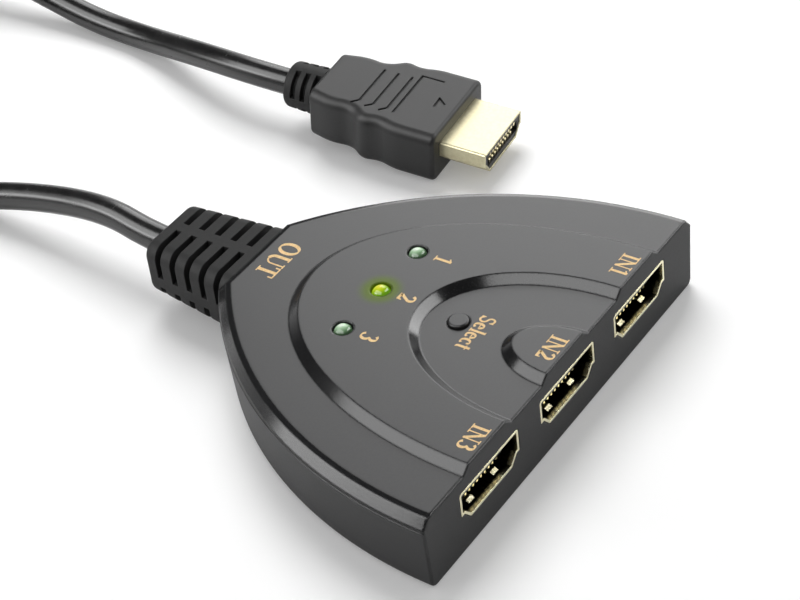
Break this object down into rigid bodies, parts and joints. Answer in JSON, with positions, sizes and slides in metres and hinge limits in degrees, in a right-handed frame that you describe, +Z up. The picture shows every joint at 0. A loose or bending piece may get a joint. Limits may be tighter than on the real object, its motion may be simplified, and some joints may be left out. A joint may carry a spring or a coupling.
{
  "type": "video switch box",
  "caption": "Flat arched plastic switch box with a row of video sockets, indicator lamps, a select button and a captive output cable that ends in a plug.",
  "frame": {"origin": "middle of the casing's footprint on the table, under the casing alone, without the boot, cord and plug", "axes": "+X across the row of sockets towards input 1, -Y out of the sockets, +Y out of the cable end, +Z up"},
  "size_m": [0.0964, 0.2051, 0.0145],
  "materials": {
    "case_abs": "black ABS, fine spark texture",
    "button_abs": "black ABS, smooth",
    "board_laminate": "green solder mask on glass-fibre laminate",
    "tact_nylon": "black nylon",
    "tinned_steel": "tin plated",
    "chip_epoxy": "black moulding compound",
    "resistor_ceramic": "black overglaze on ceramic",
    "capacitor_ceramic": "tan ceramic",
    "screw_steel": "zinc plated",
    "boot_pvc": "black soft PVC, matt",
    "jacket_pvc": "black PVC jacket, satin",
    "core_pvc": "PVC core insulation",
    "grip_pvc": "black PVC overmould, fine matt texture",
    "plated_shell": "pale gold flash over nickel, satin",
    "contact_carrier": "black liquid-crystal polymer",
    "contact_brass": "gold plated",
    "led_epoxy": "pale green translucent epoxy"
  },
  "bodies": {
    "switch_box": {"bottom_case": "case_abs", "cable_boot": "boot_pvc", "cable_cores": "core_pvc", "cable_end": "jacket_pvc", "capacitors": "capacitor_ceramic", "case_screws": "screw_steel", "chip_pins": "tinned_steel", "cord_back": "jacket_pvc", "cord_coil": "jacket_pvc", "cord_out": "jacket_pvc", "led_leads_1": "tinned_steel", "led_leads_2": "tinned_steel", "led_leads_3": "tinned_steel", "led_lens_1": "led_epoxy", "led_lens_2": "led_epoxy", "led_lens_3": "led_epoxy", "main_board": "board_laminate", "plug_boot": "boot_pvc", "plug_contacts": "contact_brass", "plug_grip": "grip_pvc", "plug_liner": "contact_carrier", "plug_shell": "plated_shell", "receptacle_contacts_1": "contact_brass", "receptacle_contacts_2": "contact_brass", "receptacle_contacts_3": "contact_brass", "receptacle_insulator_1": "contact_carrier", "receptacle_insulator_2": "contact_carrier", "receptacle_insulator_3": "contact_carrier", "receptacle_shell_1": "plated_shell", "receptacle_shell_2": "plated_shell", "receptacle_shell_3": "plated_shell", "resistors": "resistor_ceramic", "switch_chip": "chip_epoxy", "tact_body": "tact_nylon", "tact_cover": "tinned_steel", "tact_dome": "tinned_steel", "tact_terminals": "tinned_steel", "top_case": "case_abs"},
    "select_button": {"button_cap": "button_abs", "tact_plunger": "tact_nylon"}
  },
  "joints": [
    {"name": "select_press", "type": "slide", "parent": "switch_box", "child": "select_button", "axis": [0, 0, -1], "range_m": [0, 0.00025], "stiffness_N_per_m": 4000, "springref_m": -0.00015, "deforming": ["tact_dome"]}
  ]
}
